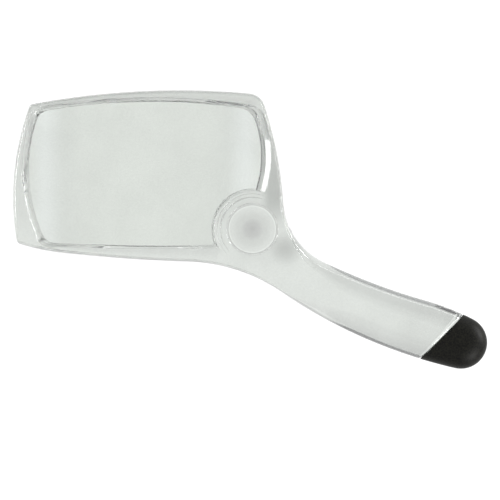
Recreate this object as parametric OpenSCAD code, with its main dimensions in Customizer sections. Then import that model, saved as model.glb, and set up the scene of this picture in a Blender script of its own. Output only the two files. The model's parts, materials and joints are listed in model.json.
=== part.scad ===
// Clear acrylic reading magnifier: a pillow-shaped rim with a rectangular lens, a small
// high-power spot lens at one corner, and a curved handle that ends in a black cap.
// The glass lies flat: X runs along its length, Y across it and Z is up through its thickness.
// The origin is under the middle of the outline, on the plane that the glass rests on.

/* [Overall] */
// Overall length, from the left edge of the rim to the tip of the handle
length = 204; // [203:0.5:206]
// Overall width, from the top of the rim to the bottom of the handle's tip
width = 120; // [119:0.5:122]
// Thickness of the rim and the handle
thickness = 13; // [12:0.5:16]

/* [Rim] */
// Radius of the long top edge
top_r = 340; // [300:5:400]
// Radius of the short left edge
left_r = 114; // [105:1:130]
// Radius of the right edge, beside the neck
right_r = 168; // [160:1:180]
// Radius of the long bottom edge
bottom_r = 700; // [600:10:900]
// Radius of the two left corners
corner_r = 2.4; // [2.2:0.2:4]
// Radius of the top right corner
top_corner_r = 8; // [5:0.5:10]
// How far the crowned section reaches in from the rim's edges
edge_w = 1.5; // [1:0.1:2]

/* [Handle] */
// Radius of the handle's tip
tip_r = 11.3; // [11:0.1:11.6]
// Radius of the handle's long lower edge
lower_r = 223; // [215:1:230]
// Radius of the hollow upper edge of the handle
upper_r = 280; // [270:2:300]
// Radius of the inside of the neck
neck_r = 30.5; // [28:0.5:33]
// Radius of the hollow where the rim's bottom edge turns down into the handle
under_r = 75; // [65:1:90]
// How far the domed section reaches in from the handle's edges
dome_w = 9.5; // [7:0.5:10]

/* [Main lens] */
// Radius of curvature of both faces; 260 mm gives about two times
lens_r = 260; // [240:5:400]
// Thickness at the centre
lens_t = 12.2; // [11.8:0.1:12.5]
// Corner radius of the window
window_corner_r = 6; // [4:0.5:8]

/* [Spot lens] */
// Diameter of the spot lens's clear face
spot_d = 20.4; // [18:0.2:21]
// Radius of curvature of both faces; 60 mm gives about five times
spot_r = 60; // [45:1:80]
// Thickness of the spot lens at its flange
spot_t = 7; // [5:0.5:8]
// Width of the flange round the clear face
spot_flange = 0.8; // [0.5:0.1:1]
// Outer diameter of the collar that holds the spot lens
collar_d = 33; // [31:0.5:34]

/* [End cap] */
// Angle of the slanting joint between handle and cap, from the X axis
cut_angle = 46; // [40:1:52]
// Length of the clear tenon that the cap is bonded over
tenon_len = 9; // [6:0.5:11]
// Wall of the cap round the tenon
cap_wall = 3.6; // [3:0.1:4.5]

/* [Hidden] */
bond_gap = 0.05;
mid_z = thickness / 2;
rim_left = -length / 2;
rim_top = width / 2;
rim_right = 15;
rim_bottom = -14.5;
window_bottom = -6.9;
window_top = 54.7;
// Shares of half the thickness at which the crowned edge steps in
crown_steps = [0, 0.42, 0.66, 0.83, 0.94, 1];
// The window's steps: share of the wall's width, and height from the middle
wall_steps = [[0.5, 4.6], [1, 5.6]];
spot_at = [1, 0];
cut_at = [82.5, -46.1];

// An outline is a ring of arcs [x, y, r], each tangent to the next. The outline turns
// anticlockwise round an arc with r > 0 and clockwise round one with r < 0, so that
// [cos(a), sin(a)] is the outward normal at angle a, and r - d is the arc moved in by d.
function touching(arc, angle, r) =
    [arc.x + (arc.z - r) * cos(angle), arc.y + (arc.z - r) * sin(angle), r];

// The arc of radius r that is tangent to both a and b; side picks one of the two
function blend(a, b, r, side) =
    let (dx = b.x - a.x, dy = b.y - a.y, gap = norm([dx, dy]))
    let (ra = abs(a.z - r), rb = abs(b.z - r))
    let (along = (gap * gap + ra * ra - rb * rb) / (2 * gap))
    let (across = side * sqrt(ra * ra - along * along))
    [a.x + (dx * along - dy * across) / gap, a.y + (dy * along + dx * across) / gap, r];

// Direction of the normal where arc a meets arc b
function meeting(a, b) = let (s = sign(a.z - b.z)) atan2(s * (b.y - a.y), s * (b.x - a.x));

// An angle moved by whole turns so that it follows start in the sense of r
function unwound(start, end, r) =
    r > 0 ? (end < start ? end + 360 : end) : (end > start ? end - 360 : end);

// Points [x, y, normal angle] along the ring, moved out by out
function ring_points(arcs, counts, out) = [
    for (i = [0 : len(arcs) - 1])
        let (n = len(arcs), arc = arcs[i])
        let (start = meeting(arcs[(i + n - 1) % n], arc))
        let (end = unwound(start, meeting(arc, arcs[(i + 1) % n]), arc.z))
        for (k = [0 : counts[i] - 1])
            let (a = start + (end - start) * k / counts[i], r = arc.z + out)
            [arc.x + r * cos(a), arc.y + r * sin(a), a]
];

// The whole outline of rim and handle
bottom = [-5, rim_bottom + bottom_r, bottom_r];
shoulder = touching(bottom, -96.2, 95);
left = [rim_left + left_r, 13.5, left_r];
top = [-30.5, rim_top - top_r, top_r];
right = [rim_right - right_r, 1, right_r];
tip = [length / 2 - tip_r, tip_r - width / 2, tip_r];
lower = touching(tip, -103, lower_r);
heel = touching(tip, 63, 115);
upper = touching(heel, 74, -upper_r);
body_arcs = [
    bottom, blend(bottom, lower, -under_r, -1), lower, tip, heel, upper,
    blend(upper, right, -neck_r, 1), right, blend(right, top, top_corner_r, 1), top,
    blend(top, left, corner_r, 1), left, blend(left, shoulder, corner_r, 1), shoulder
];
body_counts = [8, 10, 12, 14, 5, 7, 10, 6, 6, 14, 4, 10, 4, 4];
body_points = ring_points(body_arcs, body_counts, 0);

// The window widens from the lens (share 0) to the rim's flat lands (share 1)
window_wall = [2.6, 1.4, 4.2, 1.7];
window_counts = [10, 6, 10, 6, 10, 6, 10, 6];
function window_arcs(share) =
    let (left_arc = [-26, 25.5, 69 + window_wall[0] * share])
    let (floor_arc = [-40, window_bottom + 1000, 1000 + window_wall[1] * share])
    let (right_arc = [-41, 31.5, 45.7 + window_wall[2] * share])
    let (top_arc = [-42, window_top - 280, 280 + window_wall[3] * share])
    let (small = window_corner_r, large = window_corner_r + 2)
    [
        left_arc, blend(left_arc, floor_arc, small, 1),
        floor_arc, blend(floor_arc, right_arc, small, 1),
        right_arc, blend(right_arc, top_arc, large, 1),
        top_arc, blend(top_arc, left_arc, small, 1)
    ];
function window_outline(share, out) = [
    for (p = ring_points(window_arcs(share), window_counts, out)) [p.x, p.y]
];
lens_centre = [-45, 24];
// How far both faces of the spot lens bulge, together, past its flange
spot_bulge = 2 * (spot_r - sqrt(spot_r * spot_r - spot_d * spot_d / 4));

// Share of the handle's domed section at x, from 0 on the rim to 1 on the handle
function domed(x) = let (t = min(max((x - 12) / 36, 0), 1)) t * t * (3 - 2 * t);
// How far the outline at x is moved in at height up above the middle of the thickness
function section_inset(x, up) =
    let (reach = edge_w + (dome_w - edge_w) * domed(x), share = up / mid_z)
    reach * (1 - sqrt(1 - share * share));
// The body's outline moved in as its section is at height up
function body_outline(up) = [
    for (p = body_points)
        let (d = section_inset(p.x, up)) [p.x - d * cos(p.z), p.y - d * sin(p.z)]
];

// Rim and handle as one block: nested slabs that step in as the crowned edge does
module body_block() {
    for (i = [0 : len(crown_steps) - 2])
        let (low = crown_steps[i] * mid_z, high = crown_steps[i + 1] * mid_z)
            translate([0, 0, mid_z - high])
                linear_extrude(height = 2 * high)
                    polygon(body_outline(low));
}

// Everything past the slanting joint, moved on along the handle by shift
module past_cut(shift = 0) {
    translate([cut_at.x, cut_at.y, -1])
        rotate(cut_angle - 90)
            translate([shift, -50, 0])
                cube([60, 100, thickness + 2]);
}

// The tenon's or its socket's solid, grown by gap
module tenon_block(gap) {
    difference() {
        translate([0, 0, cap_wall - gap])
            linear_extrude(height = thickness - 2 * cap_wall + 2 * gap)
                polygon([
                    for (p = body_points)
                        let (d = cap_wall - gap)
                        if (p.x > 60) [p.x - d * cos(p.z), p.y - d * sin(p.z)]
                ]);
        past_cut(tenon_len + gap);
    }
}

// A lens blank between two spherical faces, centred at the given place
module lens_faces(centre, face_r, centre_t) {
    drop = face_r - centre_t / 2;
    intersection() {
        translate([centre.x, centre.y, mid_z - drop])
            sphere(r = face_r, $fn = 180);
        translate([centre.x, centre.y, mid_z + drop])
            sphere(r = face_r, $fn = 180);
    }
}

// The window: straight where the lens sits, then stepping out to the rim's flat lands
module window_cutter() {
    translate([0, 0, -1])
        linear_extrude(height = thickness + 2)
            polygon(window_outline(0, 0));
    for (step = wall_steps)
        for (z = [mid_z + step[1], -1])
            translate([0, 0, z])
                linear_extrude(height = mid_z - step[1] + 1)
                    polygon(window_outline(step[0], 0));
}

module collar_cylinder(gap) {
    translate([spot_at.x, spot_at.y, 0])
        cylinder(d = collar_d + 2 * gap, h = thickness, $fn = 96);
}

module spot_bore() {
    translate([spot_at.x, spot_at.y, -1])
        cylinder(d = spot_d + 2 * (spot_flange + bond_gap), h = thickness + 2, $fn = 96);
}

module frame() {
    color("gainsboro", 0.6) {
        difference() {
            body_block();
            difference() {
                window_cutter();
                collar_cylinder(0);
            }
            spot_bore();
            past_cut();
        }
        tenon();
    }
}

module tenon() {
    intersection() {
        tenon_block(0);
        past_cut(-1);
    }
}

module main_lens() {
    color("honeydew", 0.5)
        difference() {
            intersection() {
                lens_faces(lens_centre, lens_r, lens_t);
                linear_extrude(height = thickness)
                    polygon(window_outline(0, -bond_gap));
            }
            collar_cylinder(bond_gap);
        }
}

module spot_lens() {
    color("honeydew", 0.7)
        union() {
            intersection() {
                lens_faces(spot_at, spot_r, spot_t + spot_bulge);
                translate([spot_at.x, spot_at.y, 0])
                    cylinder(d = spot_d, h = thickness, $fn = 96);
            }
            translate([spot_at.x, spot_at.y, mid_z - spot_t / 2])
                cylinder(d = spot_d + 2 * spot_flange, h = spot_t, $fn = 96);
        }
}

module end_cap() {
    color("black")
        difference() {
            intersection() {
                body_block();
                past_cut(bond_gap);
            }
            tenon_block(bond_gap);
        }
}

frame();
main_lens();
spot_lens();
end_cap();
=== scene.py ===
"""Clear acrylic hand magnifier: rim with a rectangular lens, a spot lens and a curved handle with a black cap."""

import json
import math

import bmesh
import bpy
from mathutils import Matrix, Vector, geometry

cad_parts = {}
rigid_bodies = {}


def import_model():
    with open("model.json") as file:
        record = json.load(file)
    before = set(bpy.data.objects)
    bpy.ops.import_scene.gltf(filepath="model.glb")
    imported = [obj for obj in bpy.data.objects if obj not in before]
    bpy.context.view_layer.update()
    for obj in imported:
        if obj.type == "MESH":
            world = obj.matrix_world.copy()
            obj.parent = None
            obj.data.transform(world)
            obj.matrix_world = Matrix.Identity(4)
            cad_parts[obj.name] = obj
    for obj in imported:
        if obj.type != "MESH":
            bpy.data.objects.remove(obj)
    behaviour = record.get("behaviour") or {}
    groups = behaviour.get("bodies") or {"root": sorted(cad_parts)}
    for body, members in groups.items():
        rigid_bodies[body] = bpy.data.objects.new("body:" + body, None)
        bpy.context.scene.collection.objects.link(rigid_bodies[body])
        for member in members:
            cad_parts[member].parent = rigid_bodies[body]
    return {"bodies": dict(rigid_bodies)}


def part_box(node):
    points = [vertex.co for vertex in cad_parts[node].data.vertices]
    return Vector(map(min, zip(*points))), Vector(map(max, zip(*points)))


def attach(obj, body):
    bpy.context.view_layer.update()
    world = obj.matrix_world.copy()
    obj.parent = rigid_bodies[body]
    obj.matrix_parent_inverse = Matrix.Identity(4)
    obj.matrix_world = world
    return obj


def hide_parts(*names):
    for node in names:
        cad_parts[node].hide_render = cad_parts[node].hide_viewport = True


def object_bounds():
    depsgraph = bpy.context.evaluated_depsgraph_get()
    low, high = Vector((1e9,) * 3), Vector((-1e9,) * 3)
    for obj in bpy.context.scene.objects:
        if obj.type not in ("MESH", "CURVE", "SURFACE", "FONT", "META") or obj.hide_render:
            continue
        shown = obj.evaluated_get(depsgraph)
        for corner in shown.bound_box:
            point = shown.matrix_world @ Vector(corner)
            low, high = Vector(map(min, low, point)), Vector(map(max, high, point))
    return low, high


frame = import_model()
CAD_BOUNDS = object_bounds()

# ---------------------------------------------------------------- sizes, in millimetres
MM = 0.001
BODY = list(frame["bodies"])[0]


def box_mm(node):
    low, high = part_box(node)
    return [v / MM for v in low], [v / MM for v in high]


FRAME_LOW, FRAME_HIGH = box_mm("frame")
CAP_LOW, CAP_HIGH = box_mm("end_cap")
LENS_LOW, LENS_HIGH = box_mm("main_lens")
SPOT_LOW, SPOT_HIGH = box_mm("spot_lens")

MID_Z = (FRAME_LOW[2] + FRAME_HIGH[2]) / 2     # the middle of the thickness
HALF_T = (FRAME_HIGH[2] - FRAME_LOW[2]) / 2    # half of the thickness
TOP_Z = MID_Z + HALF_T

# Rim and handle: the outline's straight limits and the radii of its arcs
RIM_RIGHT, RIM_BOTTOM = 15, -14.5
TOP_R, LEFT_R, RIGHT_R, BOTTOM_R = 340, 114, 168, 700
CORNER_R, TOP_CORNER_R, SHOULDER_R = 2.4, 8, 95
TIP_R, LOWER_R, HEEL_R, UPPER_R = 11.3, 223, 115, 280
NECK_R, UNDER_R = 30.5, 75

# Their section
EDGE_W = 1.0                                   # reach of the crowned section on the rim
DOME_W = 9.5                                   # and on the handle
DOME_FROM, DOME_LENGTH = 12, 36                # where along X the one turns into the other
BEVEL = 0.35                                   # rounding of the moulding's crisp edges

# The shallow line pressed round the rim, just inside the crown
LINE_W, LINE_DEPTH = 0.5, 0.14
LINE_STEPS = 4                                 # rows across it
FADE_UPPER, FADE_LOWER, FADE_LENGTH = 14, -6, 18   # where it fades into the handle, on either side
UPPER_SIDE_SINE = -0.3                         # normals above this sine belong to the upper side

# The window: the lens's edge, and the width of the wall that flares out from it
WINDOW_BOTTOM, WINDOW_TOP = -6.9, 54.7
WINDOW_LEFT_R, WINDOW_BOTTOM_R, WINDOW_RIGHT_R, WINDOW_TOP_R = 69, 1000, 45.7, 280
WINDOW_CORNER_R, WINDOW_WIDE_CORNER_R = 6, 8
WALLS = (2.6, 1.4, 4.2, 1.7)                   # left, bottom, right, top
WALL_SCALE = 3                                 # about a wall's width: turns a distance into a share of it
WALL_PROFILE = ((0.5, 0.25), (0.6, 0.4), (0.97, 0.97), (1.0, 1.0))   # shares (across, down) along the wall

# The lenses
BOND_GAP = 0.05                                # cement line round each lens and in the cap
LENS_CENTRE = (-45.0, 24.0)
LENS_R = 260.0
LENS_HALF = (LENS_HIGH[2] - LENS_LOW[2]) / 2
LENS_CHAMFER = 0.12
LENS_RINGS = 44
SPOT_AT = ((SPOT_LOW[0] + SPOT_HIGH[0]) / 2, (SPOT_LOW[1] + SPOT_HIGH[1]) / 2)
SPOT_RIM_R = (SPOT_HIGH[0] - SPOT_LOW[0]) / 2  # the spot lens with its flange
SPOT_R = 10.2                                  # its clear face
SPOT_FACE_R = 60.0
SPOT_T = 7.0
SPOT_STEP = 0.25                               # step down from the clear face's edge to the flange
SPOT_RINGS = 24

# The collar round the spot lens, and the lines pressed into it
COLLAR_R = 16.5
COLLAR_DRAFT = 0.9                             # how much wider the collar is at its foot
COLLAR_STEPS = 48
COLLAR_LINES = ((13.7, 0.45), (15.2, 0.35))    # radius and width
COLLAR_LINE_START, COLLAR_LINE_TURN = 70, 155  # degrees
COLLAR_LINE_STEPS = 60
COLLAR_LINE_DEPTH = 0.4                        # as a share of the width

# The slanting joint between handle and cap
CUT_AT = (82.5, -46.1)
CUT_ANGLE = math.radians(46)
CUT_BEVEL, CUT_BEVEL_STEPS = 1.1, 6            # rounding of the handle's end
CAP_BEVEL = 0.3                                # rounding of the cap's mouth
CAP_WALL = 3.6
TENON_LEN = 9.0
TENON_ROUND = 0.8
TENON_SIDE_STEPS = 12

# How finely the skins are divided
SEGMENT, SEGMENT_TURN = 1.1, 4.0               # longest segment, and its largest turn in degrees
TILTS = [math.radians(-90 + 180 * k / 36) for k in range(37)]
STRIP_STEPS = 4                                # columns across the flat strip on the handle's spine
SHARP_ANGLE = math.radians(28)


# ---------------------------------------------------------------- outlines made of tangent arcs
def touching(arc, degrees, r):
    """The arc of radius r that touches arc where its outward normal is at that angle."""
    a = math.radians(degrees)
    return (arc[0] + (arc[2] - r) * math.cos(a), arc[1] + (arc[2] - r) * math.sin(a), r)


def blend(a, b, r, side=1):
    """The arc of radius r that is tangent to both a and b; side picks one of the two."""
    dx, dy = b[0] - a[0], b[1] - a[1]
    gap = math.hypot(dx, dy)
    ra, rb = abs(a[2] - r), abs(b[2] - r)
    along = (gap * gap + ra * ra - rb * rb) / (2 * gap)
    across = side * math.sqrt(ra * ra - along * along)
    return (a[0] + (dx * along - dy * across) / gap, a[1] + (dy * along + dx * across) / gap, r)


def meeting(a, b):
    """Angle of the outward normal where two neighbouring arcs meet."""
    s = math.copysign(1, a[2] - b[2])
    return math.atan2(s * (b[1] - a[1]), s * (b[0] - a[0]))


def spans(arcs):
    """[(arc, start, end)] for a closed ring of arcs, anticlockwise where the radius is positive."""
    out = []
    for i, arc in enumerate(arcs):
        start = meeting(arcs[i - 1], arc)
        end = meeting(arc, arcs[(i + 1) % len(arcs)])
        if arc[2] > 0 and end < start:
            end += 2 * math.pi
        if arc[2] < 0 and end > start:
            end -= 2 * math.pi
        out.append((arc, start, end))
    return out


def on_arc(arc, angle, inset=0.0):
    r = arc[2] - inset
    return (arc[0] + r * math.cos(angle), arc[1] + r * math.sin(angle))


def circles_meet(a, b, side):
    """Where circles (x, y, r) a and b cross; side picks one of the two places."""
    dx, dy = b[0] - a[0], b[1] - a[1]
    gap = math.hypot(dx, dy)
    along = (gap * gap + a[2] ** 2 - b[2] ** 2) / (2 * gap)
    across = side * math.sqrt(a[2] ** 2 - along ** 2)
    return (a[0] + (dx * along - dy * across) / gap, a[1] + (dy * along + dx * across) / gap)


def angle_at(arc, point):
    return math.atan2(point[1] - arc[1], point[0] - arc[0])


def fractions(count, last=True):
    """Even steps from 0 to 1, with or without the last."""
    return [k / count for k in range(count + (1 if last else 0))]


def steps_for(arc, start, end):
    """How many segments an arc needs."""
    turn = abs(end - start)
    return max(2, math.ceil(turn * abs(arc[2]) / SEGMENT), math.ceil(math.degrees(turn) / SEGMENT_TURN))


# The outline of rim and handle, as in the CAD model
bottom = (-5, RIM_BOTTOM + BOTTOM_R, BOTTOM_R)
shoulder = touching(bottom, -96.2, SHOULDER_R)
left = (FRAME_LOW[0] + LEFT_R, 13.5, LEFT_R)
top = (-30.5, FRAME_HIGH[1] - TOP_R, TOP_R)
right = (RIM_RIGHT - RIGHT_R, 1, RIGHT_R)
tip = (CAP_HIGH[0] - TIP_R, CAP_LOW[1] + TIP_R, TIP_R)
lower = touching(tip, -103, LOWER_R)
heel = touching(tip, 63, HEEL_R)
upper = touching(heel, 74, -UPPER_R)
OUTLINE = spans([
    bottom, blend(bottom, lower, -UNDER_R, -1), lower, tip, heel, upper, blend(upper, right, -NECK_R),
    right, blend(right, top, TOP_CORNER_R), top, blend(top, left, CORNER_R), left,
    blend(left, shoulder, CORNER_R), shoulder,
])
LOWER, TIP, HEEL = OUTLINE[2], OUTLINE[3], OUTLINE[4]


# ---------------------------------------------------------------- the crowned skin
def smooth_step(t):
    t = min(max(t, 0.0), 1.0)
    return t * t * (3 - 2 * t)


def reach(x):
    """How far the crowned section reaches in from the outline at x."""
    return EDGE_W + (DOME_W - EDGE_W) * smooth_step((x - DOME_FROM) / DOME_LENGTH)


def crown(arc, angle, tilt, pull=0.0):
    """A point of the skin over the outline's point at angle, where the skin's normal is tilted up by tilt."""
    a = reach(on_arc(arc, angle)[0])
    turn = math.atan2(HALF_T * math.sin(tilt), a * math.cos(tilt))
    x, y = on_arc(arc, angle, a * (1 - math.cos(turn)) + pull * math.cos(tilt))
    return (x, y, MID_Z + HALF_T * math.sin(turn) - pull * math.sin(tilt))


def pressed_line(arc, angle, share, up):
    """A point across the pressed line, from the crown (share 0) inwards; up is 1 on top, -1 underneath."""
    x = on_arc(arc, angle)[0]
    start = FADE_UPPER if math.sin(angle) > UPPER_SIDE_SINE else FADE_LOWER
    fade = 1 - smooth_step((x - start) / FADE_LENGTH)
    px, py = on_arc(arc, angle, reach(x) + LINE_W * fade * share)
    return (px, py, MID_Z + up * (HALF_T - LINE_DEPTH * fade * math.sin(math.pi * share)))


def past_cut(point):
    """Distance past the slanting joint between handle and cap, positive on the cap's side."""
    return (point[0] - CUT_AT[0]) * math.sin(CUT_ANGLE) - (point[1] - CUT_AT[1]) * math.cos(CUT_ANGLE)


def angle_at_cut(span, distance, point_at):
    """The angle on an arc at which point_at(arc, angle) is at that distance past the joint, by halving."""
    arc, low, high = span
    rising = past_cut(point_at(arc, high)) > past_cut(point_at(arc, low))
    for _ in range(50):
        middle = (low + high) / 2
        if (past_cut(point_at(arc, middle)) < distance) == rising:
            low = middle
        else:
            high = middle
    return (low + high) / 2


def crown_at_cut(span, tilt, distance):
    return angle_at_cut(span, distance, lambda arc, angle: crown(arc, angle, tilt))


def between(a, b):
    """The points of a straight row from a to b, without its ends."""
    return [tuple(p + (q - p) * f for p, q in zip(a, b)) for f in fractions(STRIP_STEPS)[1:-1]]


def section_loop(distance, pull=0.0):
    """Closed loop where a plane parallel to the joint cuts the handle, pulled in along the skin's normals."""
    low_side, high_side = (
        [crown(span[0], crown_at_cut(span, tilt, distance), tilt, pull) for tilt in TILTS]
        for span in (LOWER, HEEL))
    return [*low_side, *between(low_side[-1], high_side[-1]),
            *reversed(high_side), *between(high_side[0], low_side[0])]


def skin_rows(span_list, start_cut, end_cut, line=False):
    """Rows of skin points, one per tilt, along a stretch of the outline that is cut off at both ends.

    The columns keep the same angles at every tilt, and those past a slanting cut gather on it.
    """
    final = len(span_list) - 1
    outermost = {}
    for i, distance, pick in ((0, start_cut, min), (final, end_cut, max)):
        arc, start, end = span_list[i]
        sense = 1 if end > start else -1
        outermost[i] = sense * pick(sense * crown_at_cut(span_list[i], tilt, distance) for tilt in TILTS)
    rows = []
    for tilt in TILTS:
        places = []
        for i, (arc, start, end) in enumerate(span_list):
            low = outermost[i] if i == 0 else start
            high = outermost[i] if i == final else end
            angles = [low + (high - low) * f for f in fractions(steps_for(arc, start, end), i == final)]
            if i == 0:
                cut = crown_at_cut((arc, start, end), tilt, start_cut)
                angles = [a if (a > cut) == (end > start) else cut for a in angles]
            if i == final:
                cut = crown_at_cut((arc, start, end), tilt, end_cut)
                angles = [a if (a < cut) == (end > start) else cut for a in angles]
            places.extend((arc, a) for a in angles)
        rows.append([crown(arc, angle, tilt) for arc, angle in places])
        pressed = fractions(LINE_STEPS)[1:]
        if line and tilt == TILTS[0]:
            rows = [[pressed_line(arc, angle, share, -1) for arc, angle in places]
                    for share in reversed(pressed)] + rows
        if line and tilt == TILTS[-1]:
            rows += [[pressed_line(arc, angle, share, 1) for arc, angle in places] for share in pressed]
    return rows


# ---------------------------------------------------------------- window and lenses
def window_spans(share):
    """The window's ring of arcs, from the lens's edge (share 0) to the rim's flat land (share 1)."""
    left_arc = (-26, 25.5, WINDOW_LEFT_R + WALLS[0] * share)
    floor_arc = (-40, WINDOW_BOTTOM + WINDOW_BOTTOM_R, WINDOW_BOTTOM_R + WALLS[1] * share)
    right_arc = (-41, 31.5, WINDOW_RIGHT_R + WALLS[2] * share)
    top_arc = (-42, WINDOW_TOP - WINDOW_TOP_R, WINDOW_TOP_R + WALLS[3] * share)
    return spans([
        right_arc, blend(right_arc, top_arc, WINDOW_WIDE_CORNER_R),
        top_arc, blend(top_arc, left_arc, WINDOW_CORNER_R),
        left_arc, blend(left_arc, floor_arc, WINDOW_CORNER_R),
        floor_arc, blend(floor_arc, right_arc, WINDOW_CORNER_R),
    ])


WINDOW_COUNTS = [steps_for(*span) for span in window_spans(0)]
FLOOR_SPAN = 6                                 # the floor's place in the ring, where the collar cuts in


def window_loop(share, collar_r, out=0.0):
    """Closed loop of the window's outline with the collar's circle cut out of it, at that share of the wall."""
    ring = window_spans(share)
    collar = (SPOT_AT[0], SPOT_AT[1], collar_r)
    right_arc, floor_arc = ((arc[0], arc[1], arc[2] + out) for arc in (ring[0][0], ring[FLOOR_SPAN][0]))
    first = circles_meet(right_arc, collar, 1)
    last = circles_meet(collar, floor_arc, 1)
    points = []
    for i in range(FLOOR_SPAN + 1):
        arc, start, end = ring[i]
        if i == 0:
            start = angle_at(arc, first)
        if i == FLOOR_SPAN:
            end = angle_at(arc, last)
            end += 2 * math.pi if end < start else 0
        for f in fractions(WINDOW_COUNTS[i], False):
            points.append(on_arc(arc, start + (end - start) * f, -out))
    start, end = angle_at(collar, last), angle_at(collar, first)
    start += 2 * math.pi if start < end else 0
    for f in fractions(COLLAR_STEPS, False):
        points.append(on_arc(collar, start + (end - start) * f))
    return points


def lens_half(point):
    """Half of the main lens's thickness over a point."""
    along = math.hypot(point[0] - LENS_CENTRE[0], point[1] - LENS_CENTRE[1])
    return math.sqrt(LENS_R ** 2 - along ** 2) - LENS_R + LENS_HALF


def spot_half(radius):
    """Half of the spot lens's thickness at that radius of its clear face."""
    return SPOT_T / 2 + math.sqrt(SPOT_FACE_R ** 2 - radius ** 2) - math.sqrt(SPOT_FACE_R ** 2 - SPOT_R ** 2)


def ring_loop(radius, z, count=144):
    return [(SPOT_AT[0] + radius * math.cos(2 * math.pi * k / count),
             SPOT_AT[1] + radius * math.sin(2 * math.pi * k / count), z) for k in range(count)]


# ---------------------------------------------------------------- mesh building
def inside(point, edges):
    """True where a ray from point crosses the closed loops' edges an odd number of times."""
    crossings = 0
    for a, b in edges:
        if (a.y > point.y) != (b.y > point.y):
            crossings += point.x < a.x + (b.x - a.x) * (point.y - a.y) / (b.y - a.y)
    return crossings % 2 == 1


class Shell:
    """Collects the points and faces of one closed skin. Points that coincide are merged at the end."""

    SAME_POINT = 1e-6                          # nearer than this, in mm, two points are one
    SLIVER = 1e-4                              # triangles of less than half of this many mm2 are dropped

    def __init__(self):
        self.points = []
        self.faces = []

    def add(self, loop):
        start = len(self.points)
        self.points.extend(loop)
        return list(range(start, start + len(loop)))

    def strip(self, low, high, closed=True):
        """Quads between two rows of the same count."""
        a, b = self.add(low), self.add(high)
        n = len(a)
        for i in range(n if closed else n - 1):
            k = (i + 1) % n
            self.faces.append((a[i], a[k], b[k], b[i]))

    def loft(self, loops, closed=True):
        for low, high in zip(loops, loops[1:]):
            self.strip(low, high, closed)

    def fan(self, loop, centre):
        """Triangles from a loop to one point inside it."""
        ids = self.add(loop)
        middle = self.add([centre])[0]
        for i, corner in enumerate(ids):
            self.faces.append((corner, ids[(i + 1) % len(ids)], middle))

    def fill(self, outer, holes=(), up=True, flat=None):
        """A flat face inside outer with holes, as triangles. flat maps a point to the face's plane."""
        flat = flat or (lambda p: (p[0], p[1]))
        loops = [[p for p, before in zip(loop, [loop[-1], *loop]) if math.dist(p, before) > self.SAME_POINT]
                 for loop in (outer, *holes)]
        points, edges = [], []
        for loop in loops:
            start = len(points)
            points.extend(loop)
            edges.extend((start + i, start + (i + 1) % len(loop)) for i in range(len(loop)))
        plane = [Vector(flat(p)) for p in points]
        _, _, triangles, sources, _, _ = geometry.delaunay_2d_cdt(plane, edges, [], 0, 1e-7)
        sides = [(plane[a], plane[b]) for a, b in edges]
        ids = self.add(points)
        for triangle in triangles:
            a, b, c = (plane[sources[i][0]] for i in triangle)
            if abs((b - a).cross(c - a)) < self.SLIVER or not inside((a + b + c) / 3, sides):
                continue
            corner = [ids[sources[i][0]] for i in triangle]
            self.faces.append(tuple(corner if up else reversed(corner)))

    def build(self, name, material, node):
        mesh = bpy.data.meshes.new(name)
        mesh.from_pydata([[c * MM for c in p] for p in self.points], [], self.faces)
        work = bmesh.new()
        work.from_mesh(mesh)
        bmesh.ops.remove_doubles(work, verts=work.verts, dist=2e-6)
        bmesh.ops.dissolve_degenerate(work, edges=work.edges, dist=1e-7)
        bmesh.ops.recalc_face_normals(work, faces=work.faces)
        work.to_mesh(mesh)
        work.free()
        mesh.shade_smooth()
        mesh.set_sharp_from_angle(angle=SHARP_ANGLE)
        mesh.materials.append(material)
        piece = bpy.data.objects.new(name, mesh)
        bpy.context.scene.collection.objects.link(piece)
        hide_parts(node)
        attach(piece, BODY)
        return piece


def round_off(radius, count=4):
    """[(away, down)] of a quarter round, from the flat face (away from the wall) down to the wall."""
    angles = [math.pi / 2 * k / count for k in range(count + 1)]
    return [(radius * (1 - math.sin(a)), radius * (1 - math.cos(a))) for a in angles]


def both_sides(loops):
    """Loops from the top down to the middle, continued with their mirror images down to the bottom."""
    return loops + [[(x, y, 2 * MID_Z - z) for x, y, z in loop] for loop in reversed(loops)]


# ---------------------------------------------------------------- the pieces
def window_wall_loops():
    """Loops down the window's wall: round edge, slope, then the steep seat of the lens."""
    loops = []
    for away, down in round_off(BEVEL):
        loops.append([(x, y, TOP_Z - down) for x, y in window_loop(1 + away / WALL_SCALE, COLLAR_R - away)])
    foot = window_loop(0, COLLAR_R + COLLAR_DRAFT)
    edge = [MID_Z + lens_half(p) for p in foot]
    for across, down in WALL_PROFILE:
        ring = window_loop(1 - across, COLLAR_R + COLLAR_DRAFT * across)
        loops.append([(x, y, TOP_Z - BEVEL + (z - TOP_Z + BEVEL) * down) for (x, y), z in zip(ring, edge)])
    return loops


def spot_bore_loops():
    r = SPOT_RIM_R + BOND_GAP
    return [ring_loop(r + away, TOP_Z - down) for away, down in round_off(BEVEL)]


def collar_line(radius, width, up):
    """Rows along an arc-shaped line pressed into the collar, tapered at both ends; up is -1 underneath."""
    rows = []
    for share in fractions(LINE_STEPS):
        row = []
        for f in fractions(COLLAR_LINE_STEPS):
            w = width * math.sqrt(abs(math.sin(math.pi * f)))
            a, r = math.radians(COLLAR_LINE_START + COLLAR_LINE_TURN * f), radius + w * (share - 0.5)
            row.append((SPOT_AT[0] + r * math.cos(a), SPOT_AT[1] + r * math.sin(a),
                        MID_Z + up * (HALF_T - COLLAR_LINE_DEPTH * w * math.sin(math.pi * share))))
        rows.append(row)
    return rows


def in_cut_plane(p):
    """Coordinates in the joint's plane: along the joint, and up."""
    return ((p[0] - CUT_AT[0]) * math.cos(CUT_ANGLE) + (p[1] - CUT_AT[1]) * math.sin(CUT_ANGLE), p[2])


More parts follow.
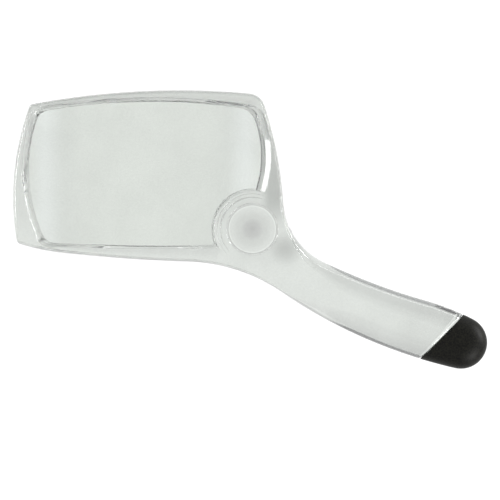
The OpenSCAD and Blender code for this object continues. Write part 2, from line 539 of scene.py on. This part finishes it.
def tenon_loop(distance, gap):
    """Closed loop round the tenon or its socket, at that distance past the joint: a bar with half-round sides."""
    half_h = HALF_T - CAP_WALL + gap

    def inset_point(arc, angle):
        return on_arc(arc, angle, CAP_WALL - gap)

    low, high = (inset_point(span[0], angle_at_cut(span, distance, inset_point)) for span in (LOWER, HEEL))
    loop = []
    for (x, y), (other_x, other_y), first, turn in ((low, high, -90, 180), (high, low, 90, -180)):
        length = math.hypot(other_x - x, other_y - y)
        ux, uy = (x - other_x) / length, (y - other_y) / length
        cx, cy = x - ux * half_h, y - uy * half_h
        for k in range(TENON_SIDE_STEPS + 1):
            a = math.radians(first + turn * k / TENON_SIDE_STEPS)
            loop.append((cx + ux * half_h * math.cos(a), cy + uy * half_h * math.cos(a),
                         MID_Z + half_h * math.sin(a)))
    return loop


def make_frame(material):
    shell = Shell()
    stretch = [HEEL, *OUTLINE[5:], OUTLINE[0], OUTLINE[1], LOWER]
    rows = skin_rows(stretch, -CUT_BEVEL, -CUT_BEVEL, line=True)
    shell.loft(rows, closed=False)
    # the handle's end, rounded off towards the joint, and the tenon that the cap goes over
    loops = [section_loop(-down, away) for down, away in round_off(CUT_BEVEL, CUT_BEVEL_STEPS)]
    shell.loft(loops)
    root = tenon_loop(0, 0)
    shell.fill(loops[-1], [root], flat=in_cut_plane)
    tenon = [root] + [tenon_loop(TENON_LEN - down, -away) for down, away in round_off(TENON_ROUND)]
    shell.loft(tenon)
    shell.fill(tenon[-1], flat=in_cut_plane)
    # lands, window and bore
    walls = window_wall_loops()
    bore = spot_bore_loops()
    shell.loft(both_sides(walls))
    shell.loft(both_sides(bore))
    for row, z, up in ((rows[-1], TOP_Z, True), (rows[0], 2 * MID_Z - TOP_Z, False)):
        holes = [[(p[0], p[1], z) for p in walls[0]], [(p[0], p[1], z) for p in bore[0]]]
        for radius, width in COLLAR_LINES:
            pressed = collar_line(radius, width, 1 if up else -1)
            shell.loft(pressed, closed=False)
            holes.append(pressed[0] + pressed[-1][-2:0:-1])
        shell.fill(row + between(row[-1], row[0]), holes, up)
    return shell.build("frame_moulding", material, "frame")


def make_main_lens(material):
    shell = Shell()
    edge = window_loop(0, COLLAR_R + COLLAR_DRAFT + BOND_GAP, -BOND_GAP)
    cx, cy = LENS_CENTRE

    def shrunk(x, y, f):
        x, y = cx + (x - cx) * f, cy + (y - cy) * f
        return (x, y, MID_Z + lens_half((x, y)))

    loops = [[shrunk(x, y, k / LENS_RINGS) for x, y in edge] for k in range(1, LENS_RINGS)]
    loops.append([shrunk(x, y, 1 - LENS_CHAMFER / math.hypot(x - cx, y - cy)) for x, y in edge])
    loops.append([(x, y, MID_Z + lens_half((x, y)) - LENS_CHAMFER) for x, y in edge])
    loops = both_sides(loops)
    shell.loft(loops)
    shell.fan(loops[0], (cx, cy, MID_Z + LENS_HALF))
    shell.fan(loops[-1], (cx, cy, MID_Z - LENS_HALF))
    return shell.build("reading_lens", material, "main_lens")


def make_spot_lens(material):
    shell = Shell()
    flange = SPOT_T / 2 - SPOT_STEP
    soft, foot, side = 0.08, 0.06, 0.2         # rounding of the face's edge, of the step's foot and the flange
    profile = [(SPOT_R * k / SPOT_RINGS, spot_half(SPOT_R * k / SPOT_RINGS)) for k in range(1, SPOT_RINGS)]
    profile += [(SPOT_R - soft, spot_half(SPOT_R)), (SPOT_R, SPOT_T / 2 - soft), (SPOT_R + foot, flange)]
    profile += [(SPOT_RIM_R - side, flange), (SPOT_RIM_R - foot, flange - foot), (SPOT_RIM_R, flange - side)]
    loops = both_sides([ring_loop(r, MID_Z + h) for r, h in profile])
    shell.loft(loops)
    shell.fan(loops[0], (*SPOT_AT, MID_Z + spot_half(0)))
    shell.fan(loops[-1], (*SPOT_AT, MID_Z - spot_half(0)))
    return shell.build("spot_magnifier", material, "spot_lens")


def make_cap(material):
    shell = Shell()
    rows = skin_rows([LOWER, TIP, HEEL], BOND_GAP + CAP_BEVEL, BOND_GAP + CAP_BEVEL)
    shell.loft(rows, closed=False)
    loops = [section_loop(BOND_GAP + down, away) for down, away in round_off(CAP_BEVEL)]
    shell.loft(loops)
    mouth = tenon_loop(BOND_GAP, BOND_GAP)
    shell.fill(loops[-1], [mouth], flat=in_cut_plane)
    socket_end = tenon_loop(TENON_LEN + BOND_GAP, BOND_GAP)
    shell.strip(mouth, socket_end)
    shell.fill(socket_end, flat=in_cut_plane)
    for row, up in ((rows[-1], True), (rows[0], False)):
        shell.fill(row + between(row[-1], row[0]), (), up)
    return shell.build("end_cap_boot", material, "end_cap")


# ---------------------------------------------------------------- materials
class Graph:
    """A material's node tree, with short ways to add nodes. Values may be numbers or other nodes' outputs."""

    def __init__(self, name):
        self.material = bpy.data.materials.new(name)
        self.material.use_nodes = True
        self.tree = self.material.node_tree
        self.shader = self.tree.nodes["Principled BSDF"]
        self.place = self.tree.nodes.new("ShaderNodeTexCoord")

    def put(self, socket, value):
        if isinstance(value, bpy.types.NodeSocket):
            self.tree.links.new(value, socket)
        else:
            socket.default_value = value

    def node(self, kind, **inputs):
        node = self.tree.nodes.new("ShaderNode" + kind)
        for key, value in inputs.items():
            self.put(node.inputs[key.replace("_", " ")], value)
        return node

    def maths(self, operation, *values):
        node = self.tree.nodes.new("ShaderNodeMath")
        node.operation = operation
        for socket, value in zip(node.inputs, values):
            self.put(socket, value)
        return node.outputs[0]

    def product(self, first, *others):
        for other in others:
            first = self.maths("MULTIPLY", first, other)
        return first

    def vector_maths(self, operation, a, b, output="Vector"):
        node = self.tree.nodes.new("ShaderNodeVectorMath")
        node.operation = operation
        self.put(node.inputs[0], a)
        self.put(node.inputs[1], b)
        return node.outputs[output]

    def noise(self, scale, detail):
        return self.node("TexNoise", Vector=self.place.outputs["Object"], Scale=scale, Detail=detail).outputs["Fac"]

    def ease(self, value, low, high, at_low, at_high):
        """A smooth step from at_low, where value is low or less, to at_high, where it is high or more."""
        node = self.tree.nodes.new("ShaderNodeMapRange")
        node.interpolation_type = "SMOOTHSTEP"
        for key, number in zip(("Value", "From Min", "From Max", "To Min", "To Max"),
                               (value, low, high, at_low, at_high)):
            self.put(node.inputs[key], number)
        return node.outputs["Result"]

    def ramp(self, value, stops):
        node = self.node("ValToRGB", Fac=value)
        node.color_ramp.interpolation = "EASE"
        elements = node.color_ramp.elements
        while len(elements) < len(stops):
            elements.new(0.5)
        for element, (position, colour) in zip(elements, stops):
            element.position = position
            element.color = (*colour, 1)
        return node.outputs["Color"]

    def axes(self, source):
        """X and Y of the point (Object) or of the surface's normal (Normal)."""
        parts = self.node("SeparateXYZ", Vector=self.place.outputs[source])
        return parts.outputs["X"], parts.outputs["Y"]

    def tilt(self):
        """Sine of the angle that the surface leans over by."""
        across, along = self.axes("Normal")
        return self.maths("SQRT", self.maths("ADD", self.maths("POWER", across, 2.0), self.maths("POWER", along, 2.0)))

    def bump(self, height, distance, strength=1.0):
        node = self.node("Bump", Height=height, Distance=distance, Strength=strength)
        self.put(self.shader.inputs["Normal"], node.outputs["Normal"])


def grey(level, warm=0.0):
    """A grey with a little red and blue added for a warm or lilac cast."""
    return (level + warm, level, level + warm)


# Clear acrylic
IOR = 1.49
GLINT_ROUGHNESS = 0.14                         # of the coat that mirrors the lamps, so that glints are soft
SHADOW_TINT = (0.97, 0.975, 0.97, 1)           # how much of a lamp's light a shadow ray keeps
FRAME_TINT, LENS_TINT, SPOT_TINT = (0.717, 0.746, 0.712), (0.786, 0.825, 0.776), (0.746, 0.775, 0.741)
FRAME_WAVE, LENS_WAVE = 0.004, 0.001           # depth of the faint ripple of a moulded surface, in mm
RIPPLE_SCALE, SPECKLE_SCALE = 60.0, 1500.0

# Painted shade of the crowned edges, standing in for what they refract and mirror: greyer or paler by which way they
# face. Place on the ramp: 0 facing the handle's lower side, 0.5 level, 1 facing the upper
UPPER_SIDE = (-0.3, 0.95)
CROWN_PAINTED_SHADES = (
    (0.0, grey(0.80)), (0.3, grey(0.90, 0.01)), (0.42, grey(0.95, 0.005)), (0.5, grey(1.0)),
    (0.57, grey(0.88)), (0.64, grey(0.76)), (0.8, grey(0.82)), (1.0, grey(0.84)))
# Painted light and shade of the main lens, standing in for what it refracts and mirrors: tones from its left end (0.1)
# over its middle (0.5) to its right end (0.9)
LENS_PAINTED_LIGHT = (
    (0.1, grey(0.89)), (0.18, (0.91, 0.91, 0.925)), (0.32, grey(0.87)), (0.5, grey(0.885)),
    (0.69, grey(0.87)), (0.765, grey(0.81)), (0.835, (1.0, 1.0, 1.03)), (0.89, grey(0.88)))
# Painted shade and, towards the edge, painted highlight of the spot lens, standing in for what it refracts: tones from
# its middle (0) to its edge (0.17), by the tilt of its face
SPOT_PAINTED_LIGHT = (
    (0.0, grey(0.66, 0.01)), (0.04, grey(0.72, 0.01)), (0.09, grey(0.85)), (0.155, grey(0.94)),
    (0.2, grey(1.15)))
NECK_PAINTED_SHADE_AT = (15.5, -8.5)                   # middle of the painted shade in the neck, a grey spot that stands in for a dark reflection

# Black plastic
GRAIN_SCALE = 1800.0
GRAIN_DEPTH = 0.02
GRAIN_TONES = ((0.35, (0.001, 0.001, 0.001)), (0.65, (0.010, 0.010, 0.0065)))


def clear_plastic(name, colour, shading, wave):
    """Clear acrylic. Shadow rays pass straight through, so that the lamps light what lies under it."""
    graph = Graph(name)
    shader = graph.shader
    shader.inputs["Transmission Weight"].default_value = 1.0
    shader.inputs["IOR"].default_value = IOR
    shader.inputs["Roughness"].default_value = 0.0
    shader.inputs["Coat Weight"].default_value = 1.0
    shader.inputs["Coat Roughness"].default_value = GLINT_ROUGHNESS
    ripple = graph.noise(RIPPLE_SCALE, 2.0)
    graph.bump(ripple, wave * MM)
    speckle = graph.noise(SPECKLE_SCALE, 2.0)
    tone = graph.product(graph.ease(ripple, 0.3, 0.7, 0.975, 1.025), graph.ease(speckle, 0.3, 0.7, 0.97, 1.03))
    tinted = graph.vector_maths("MULTIPLY", colour, tone)
    # the base colour carries painted light and shade from the shading function, standing in for what the clear plastic
    # refracts and mirrors
    graph.put(shader.inputs["Base Color"], graph.vector_maths("MULTIPLY", tinted, shading(graph)))
    path = graph.node("LightPath")
    through = graph.node("BsdfTransparent", Color=SHADOW_TINT)
    mix = graph.tree.nodes.new("ShaderNodeMixShader")
    graph.put(mix.inputs["Fac"], path.outputs["Is Shadow Ray"])
    graph.put(mix.inputs[1], shader.outputs["BSDF"])
    graph.put(mix.inputs[2], through.outputs["BSDF"])
    graph.put(graph.tree.nodes["Material Output"].inputs["Surface"], mix.outputs["Shader"])
    return graph.material


def frame_painted_shading(graph):
    """Painted light and shade of the moulding, standing in for what its thick clear walls refract and mirror: greyer
    crowned edges, rim and neck, a bright band by the joint, and a thin dark line along its lower edge.
    """
    across, along = graph.axes("Normal")
    x, y = graph.axes("Object")
    facing = graph.maths("ADD", graph.maths("MULTIPLY", across, UPPER_SIDE[0]),
                         graph.maths("MULTIPLY", along, UPPER_SIDE[1]))
    crown_painted_shade = graph.ramp(graph.maths("MULTIPLY_ADD", facing, 0.5, 0.5), CROWN_PAINTED_SHADES)
    # painted shade: the rim is a little greyer than the handle, towards its top more so
    rim = graph.product(graph.ease(y, -8 * MM, 12 * MM, 1.0, 0.94), graph.ease(y, 48 * MM, 57 * MM, 1.0, 0.95))
    # and painted shade on its right side, above the spot lens, takes this much off
    right_rim_painted_shade = graph.product(graph.ease(x, 4 * MM, 9 * MM, 0.0, 1.0), graph.ease(y, 0.0, 14 * MM, 0.0, 0.26),
                              graph.ease(y, 22 * MM, 34 * MM, 1.0, 0.85))
    # painted shade: a grey spot in the neck, darkest at its middle
    from_neck = graph.vector_maths("DISTANCE", graph.place.outputs["Object"],
                                   (NECK_PAINTED_SHADE_AT[0] * MM, NECK_PAINTED_SHADE_AT[1] * MM, MID_Z * MM), "Value")
    neck = graph.ease(from_neck, 1.5 * MM, 11 * MM, 0.42, 1.0)
    # painted highlight: a bright band beside the joint, on the handle's rounded end
    past = graph.maths("SUBTRACT",
                       graph.maths("MULTIPLY", graph.maths("SUBTRACT", x, CUT_AT[0] * MM), math.sin(CUT_ANGLE)),
                       graph.maths("MULTIPLY", graph.maths("SUBTRACT", y, CUT_AT[1] * MM), math.cos(CUT_ANGLE)))
    joint = graph.ease(past, -1.5 * MM, -1.1 * MM, 1.0, 1.35)
    # painted shade: the steep edge is dark where it faces down the outline, but not on the window's wall, higher up
    facing_down = graph.ease(along, -0.8, -0.2, 0.2, 0.85)
    edge = graph.maths("MAXIMUM", facing_down, graph.ease(y, 5 * MM, 15 * MM, 0.0, 1.0))
    outline = graph.ease(graph.tilt(), 0.78, 0.95, 1.0, edge)
    shade = graph.product(graph.maths("SUBTRACT", rim, right_rim_painted_shade), outline, neck, joint)
    return graph.vector_maths("MULTIPLY", crown_painted_shade, shade)


def lens_painted_shading(graph):
    """Painted light and shade: the wide lens pales towards its two short ends, past a slightly greyer band."""
    across, _ = graph.axes("Normal")
    return graph.ramp(graph.maths("MULTIPLY_ADD", across, 2.0, 0.5), LENS_PAINTED_LIGHT)


def spot_painted_shading(graph):
    """Painted shade and highlight: the small lens is grey in the middle and pales towards its edge."""
    return graph.ramp(graph.tilt(), SPOT_PAINTED_LIGHT)


def black_plastic():
    graph = Graph("black_plastic")
    grain = graph.noise(GRAIN_SCALE, 4.0)
    graph.put(graph.shader.inputs["Base Color"], graph.ramp(grain, GRAIN_TONES))
    graph.put(graph.shader.inputs["Roughness"], graph.ease(grain, 0.0, 1.0, 0.38, 0.52))
    graph.put(graph.shader.inputs["Specular IOR Level"], 0.16)
    graph.bump(grain, GRAIN_DEPTH * MM, 0.5)
    return graph.material


make_frame(clear_plastic("clear_acrylic", FRAME_TINT, frame_painted_shading, FRAME_WAVE))
make_main_lens(clear_plastic("lens_acrylic", LENS_TINT, lens_painted_shading, LENS_WAVE))
make_spot_lens(clear_plastic("spot_acrylic", SPOT_TINT, spot_painted_shading, LENS_WAVE))
make_cap(black_plastic())

# ---------------------------------------------------------------- floor, light and camera, in metres
FLOOR_HALF = 3.0
FLOOR_DROP = 0.0001                            # keeps the floor clear of the resting face
FLOOR_GREY, FLOOR_GLOW = 0.22, 0.95            # a pale floor, lit evenly like a light table
CAMERA_DISTANCE = 1.6
IMAGE_PIXELS, MM_PER_PIXEL = 500, 0.43
VIEW_CENTRE = (0.0, -8.92 * MM)


def make_floor():
    material = bpy.data.materials.new("floor")
    material.use_nodes = True
    shader = material.node_tree.nodes["Principled BSDF"]
    shader.inputs["Base Color"].default_value = (FLOOR_GREY, FLOOR_GREY, FLOOR_GREY, 1)
    shader.inputs["Emission Color"].default_value = (1, 1, 1, 1)
    shader.inputs["Emission Strength"].default_value = FLOOR_GLOW
    shader.inputs["Roughness"].default_value = 0.9
    shader.inputs["Specular IOR Level"].default_value = 0.0
    mesh = bpy.data.meshes.new("floor")
    z = CAD_BOUNDS[0][2] - FLOOR_DROP
    corners = [(x * FLOOR_HALF, y * FLOOR_HALF, z) for x, y in ((-1, -1), (1, -1), (1, 1), (-1, 1))]
    mesh.from_pydata(corners, [], [(0, 1, 2, 3)])
    mesh.materials.append(material)
    floor = bpy.data.objects.new("floor", mesh)
    bpy.context.scene.collection.objects.link(floor)


def area_light(name, at, size, power):
    """A soft panel that faces the origin."""
    light = bpy.data.lights.new(name, "AREA")
    light.shape = "RECTANGLE"
    light.size, light.size_y = size
    light.energy = power
    lamp = bpy.data.objects.new(name, light)
    lamp.location = at
    lamp.visible_transmission = False          # the floor gets its light through shadow rays, and only once
    lamp.rotation_euler = (-Vector(at)).to_track_quat("-Z", "Y").to_euler()
    bpy.context.scene.collection.objects.link(lamp)


def make_world(colour, strength):
    world = bpy.data.worlds.new("studio")
    world.use_nodes = True
    background = world.node_tree.nodes["Background"]
    background.inputs["Color"].default_value = (*colour, 1)
    background.inputs["Strength"].default_value = strength
    bpy.context.scene.world = world


def make_camera():
    """Straight above the glass, as the photograph looks on it, at the scale of the middle of its thickness."""
    data = bpy.data.cameras.new("camera")
    data.sensor_width = 36.0
    data.lens = data.sensor_width * CAMERA_DISTANCE / (IMAGE_PIXELS * MM_PER_PIXEL * MM)
    data.clip_end = 20
    camera = bpy.data.objects.new("camera", data)
    camera.location = (*VIEW_CENTRE, MID_Z * MM + CAMERA_DISTANCE)
    bpy.context.scene.collection.objects.link(camera)
    bpy.context.scene.camera = camera


def set_view():
    """Plain colours, and light paths long enough for thick clear walls."""
    scene = bpy.context.scene
    scene.view_settings.view_transform = "Standard"
    scene.cycles.caustics_refractive = False
    scene.cycles.caustics_reflective = False
    scene.cycles.max_bounces = 24
    scene.cycles.transmission_bounces = 24
    scene.cycles.glossy_bounces = 12


make_floor()
area_light("left_panel", (-1.5, 0.2, 0.7), (0.62, 0.9), 14)
area_light("top_strip", (0.5, 1.5, 0.3), (1.4, 0.14), 2)
area_light("right_panel", (1.5, 0.6, 0.4), (1.1, 0.26), 20)
area_light("front_panel", (1.0, -1.0, 0.9), (0.6, 0.5), 12)
make_world((0.75, 0.75, 0.77), 0.78)
make_camera()
set_view()
